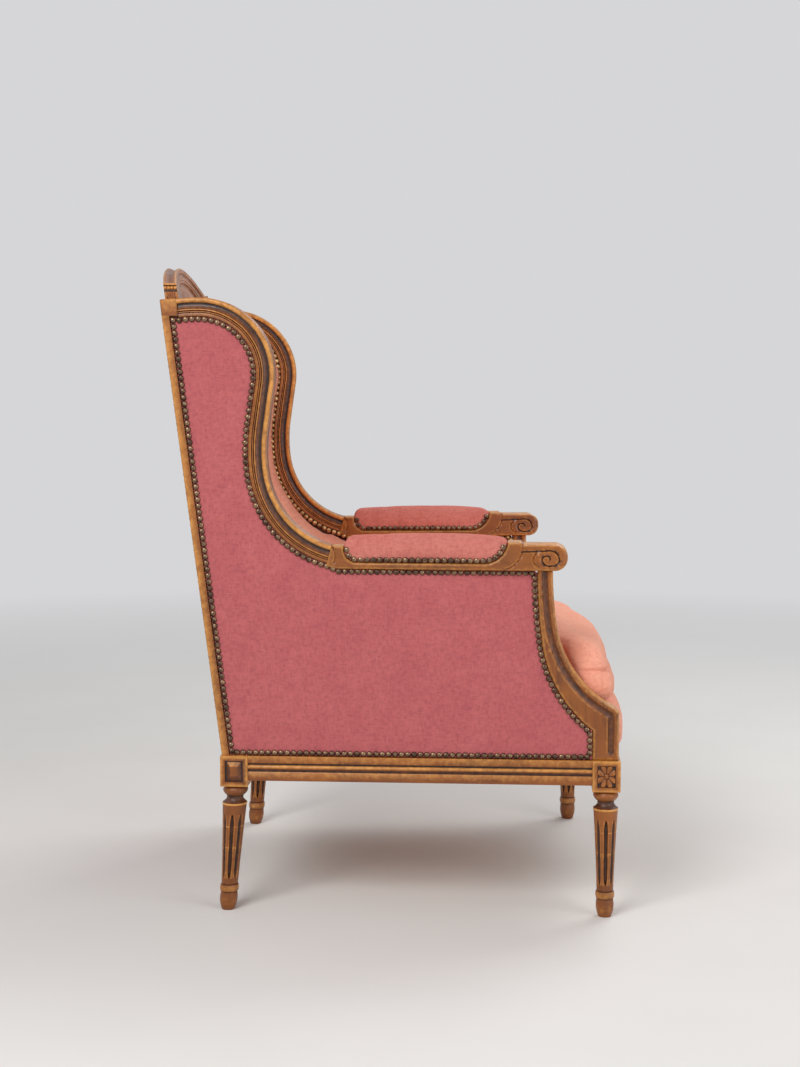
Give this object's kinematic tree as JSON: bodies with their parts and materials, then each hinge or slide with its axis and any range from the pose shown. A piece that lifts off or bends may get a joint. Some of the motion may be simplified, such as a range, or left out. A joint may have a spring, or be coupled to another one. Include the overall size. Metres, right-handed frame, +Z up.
{
  "type": "bergere chair",
  "caption": "Upholstered wing armchair with a carved and moulded wooden frame, fluted tapered legs, padded arms and a loose seat cushion.",
  "frame": {"origin": "on the floor below the middle of the chair's outline", "axes": "+Z up; the sitter faces -Y; +X towards the sitter's left"},
  "size_m": [0.6934, 0.7904, 1.0706],
  "materials": {
    "carved_wood": "antiqued walnut, waxed, pale worn edges and dark recesses",
    "plain_wood": "unfinished beech, hidden",
    "outer_velvet": "dusty rose-red short-pile velvet",
    "inner_velvet": "salmon short-pile velvet over stuffing",
    "webbing": "woven jute webbing"
  },
  "bodies": {
    "frame": {"front_leg_left": "carved_wood", "rear_post_left": "carved_wood", "side_rail_left": "carved_wood", "wing_frame_left": "carved_wood", "armrest_left": "carved_wood", "arm_support_left": "carved_wood", "frame_slips_left": "plain_wood", "side_tack_rail_left": "plain_wood", "outside_panel_left": "outer_velvet", "inside_side_pad_left": "inner_velvet", "arm_pad_left": "inner_velvet", "front_leg_right": "carved_wood", "rear_post_right": "carved_wood", "side_rail_right": "carved_wood", "wing_frame_right": "carved_wood", "armrest_right": "carved_wood", "arm_support_right": "carved_wood", "frame_slips_right": "plain_wood", "side_tack_rail_right": "plain_wood", "outside_panel_right": "outer_velvet", "inside_side_pad_right": "inner_velvet", "arm_pad_right": "inner_velvet", "front_rail": "carved_wood", "back_rail": "carved_wood", "top_rail": "carved_wood", "seat_glue_blocks": "plain_wood", "back_lower_rail": "plain_wood", "outside_back": "outer_velvet", "back_webbing": "webbing", "inside_back_pad": "inner_velvet", "seat_webbing": "webbing", "seat_deck": "inner_velvet"},
    "cushion": {"seat_cushion": "inner_velvet"}
  },
  "joints": [
    {"name": "cushion_lift", "type": "slide", "parent": "frame", "child": "cushion", "axis": [0, 0, 1], "range_m": [0, 0.6]}
  ]
}
